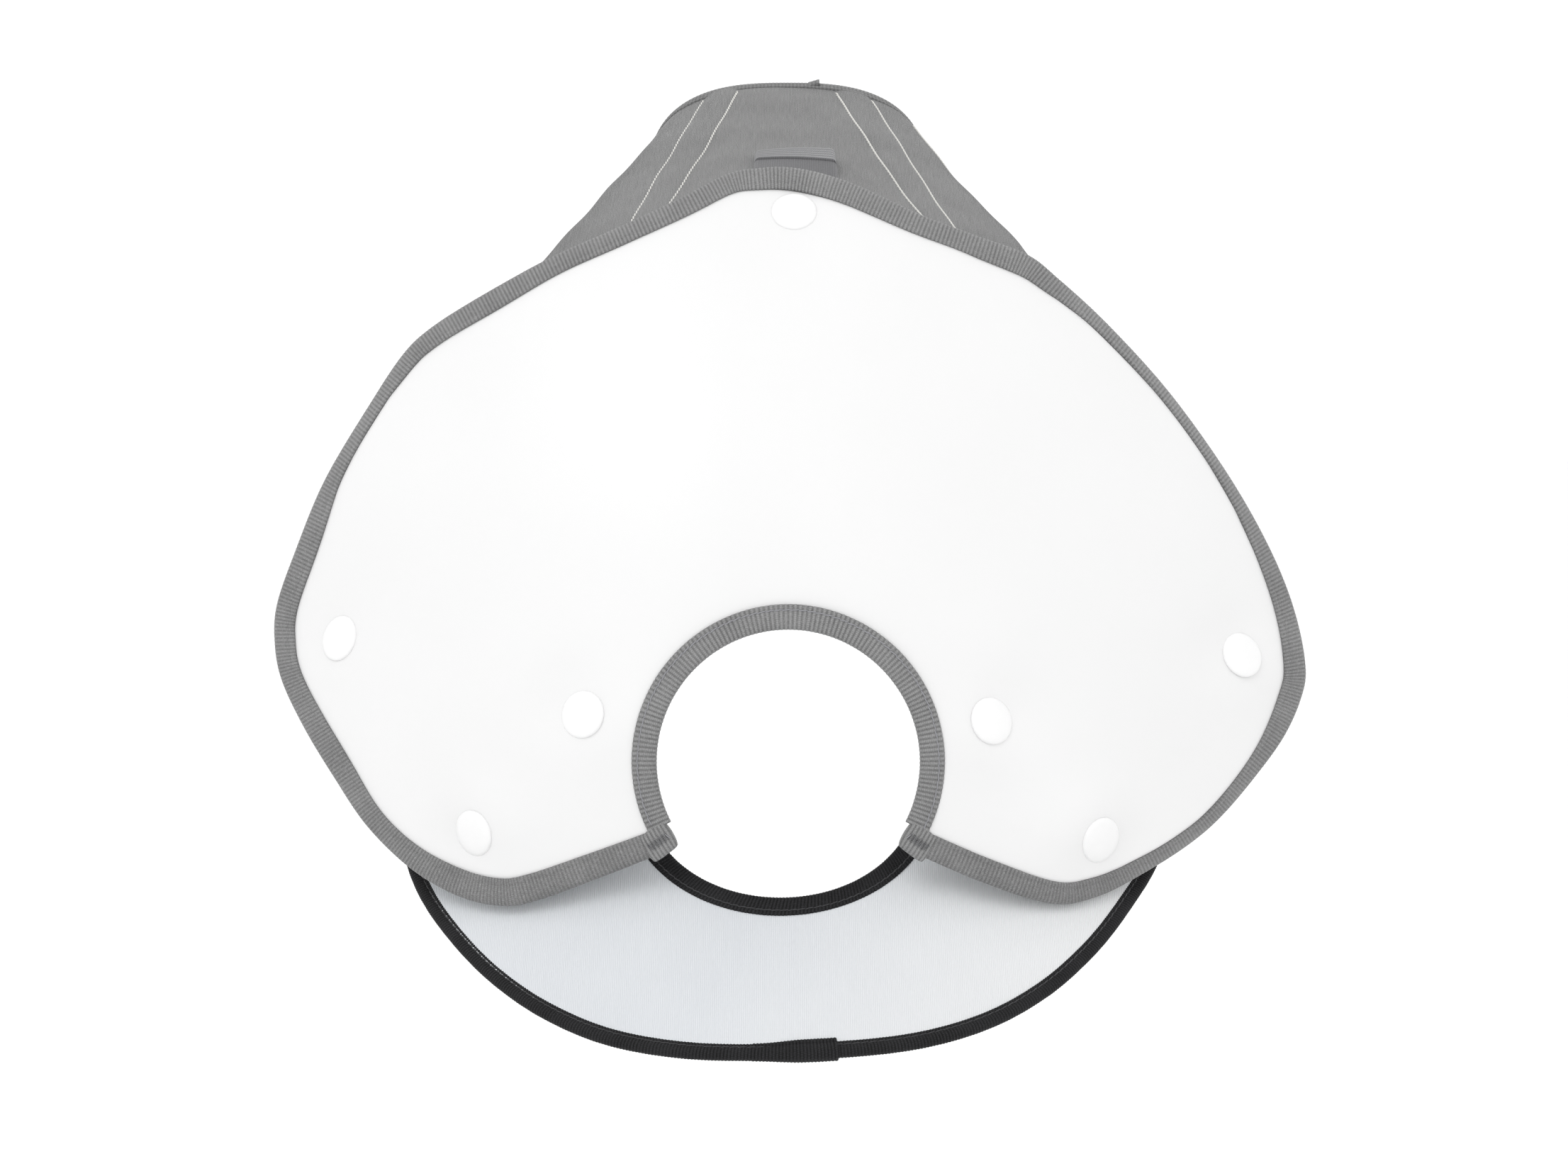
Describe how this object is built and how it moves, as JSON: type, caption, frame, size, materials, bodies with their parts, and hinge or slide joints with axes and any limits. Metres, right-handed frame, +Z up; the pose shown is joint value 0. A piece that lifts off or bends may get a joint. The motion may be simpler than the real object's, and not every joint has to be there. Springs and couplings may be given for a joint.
{
  "type": "collapsible flash diffuser with reflector disc",
  "caption": "Cloth flash hood with a translucent diffuser panel arched over a lens and a sprung, tilting reflector disc with a lens hole.",
  "frame": {"origin": "centre of the panel's arch, on the lens axis", "axes": "Y is the lens axis, with the subject on the -Y side; +Z is up; X runs across the panel, +X to the right as seen from the subject"},
  "size_m": [0.3096, 0.2341, 0.2822],
  "materials": {
    "hood_cloth": "coarse plain woven nylon, shown mid grey",
    "hood_lining_cloth": "smooth white reflective lining",
    "grey_tape": "ribbed grosgrain tape, shown mid grey",
    "hook_loop": "brushed loop and hook fastener",
    "diffusion_cloth": "smooth translucent white diffusion sheet",
    "white_plastic": "moulded white acetal snap",
    "stay_plastic": "flat semi-clear plastic stay",
    "reflector_cloth": "white fine-ribbed reflector cloth",
    "backing_cloth": "black woven backing",
    "black_tape": "black ribbed grosgrain tape",
    "spring_steel": "sprung steel wire"
  },
  "bodies": {
    "hood": {"hood_top": "hood_cloth", "hood_left_side": "hood_cloth", "hood_right_side": "hood_cloth", "hood_bottom": "hood_cloth", "hood_lining": "hood_lining_cloth", "left_stay": "stay_plastic", "right_stay": "stay_plastic", "mouth_binding": "grey_tape", "mouth_grip_band": "hook_loop", "webbing_loop": "grey_tape", "cinch_strap": "grey_tape", "strap_loop_patch": "hook_loop", "reflector_hanger": "black_tape", "diffuser_peak": "diffusion_cloth", "peak_binding": "grey_tape", "top_snap_cap": "white_plastic", "top_snap_socket": "white_plastic", "inner_tongue": "diffusion_cloth", "top_inner_stud": "white_plastic"},
    "diffuser": {"diffuser_sheet": "diffusion_cloth", "diffuser_binding": "grey_tape", "arch_binding": "grey_tape", "tape_ends": "grey_tape", "snap_caps": "white_plastic", "snap_sockets": "white_plastic", "inner_diffuser_sheet": "diffusion_cloth", "inner_snap_studs": "white_plastic"},
    "reflector": {"reflector_face": "reflector_cloth", "reflector_backing": "backing_cloth", "reflector_hoop": "spring_steel", "hoop_ferrule": "spring_steel", "reflector_binding": "black_tape", "binding_overlap": "black_tape", "lens_hole_binding": "black_tape", "reflector_tab": "black_tape"},
    "strap_tail": {"strap_tail": "grey_tape", "tail_hook_patch": "hook_loop"}
  },
  "joints": [
    {"name": "diffuser_fold", "type": "hinge", "parent": "hood", "child": "diffuser", "pos_m": [0, 0.0482, 0.14], "axis": [-1, 0, 0], "range_deg": [0, 75]},
    {"name": "reflector_tilt", "type": "hinge", "parent": "hood", "child": "reflector", "pos_m": [0, 0.1387, 0.0977], "axis": [1, 0, 0], "range_deg": [0, 120]},
    {"name": "strap_peel", "type": "hinge", "parent": "hood", "child": "strap_tail", "pos_m": [0.01476, 0.1777, 0.1302], "axis": [-0.0606, 0.7359, 0.6744], "range_deg": [0, 120]}
  ]
}
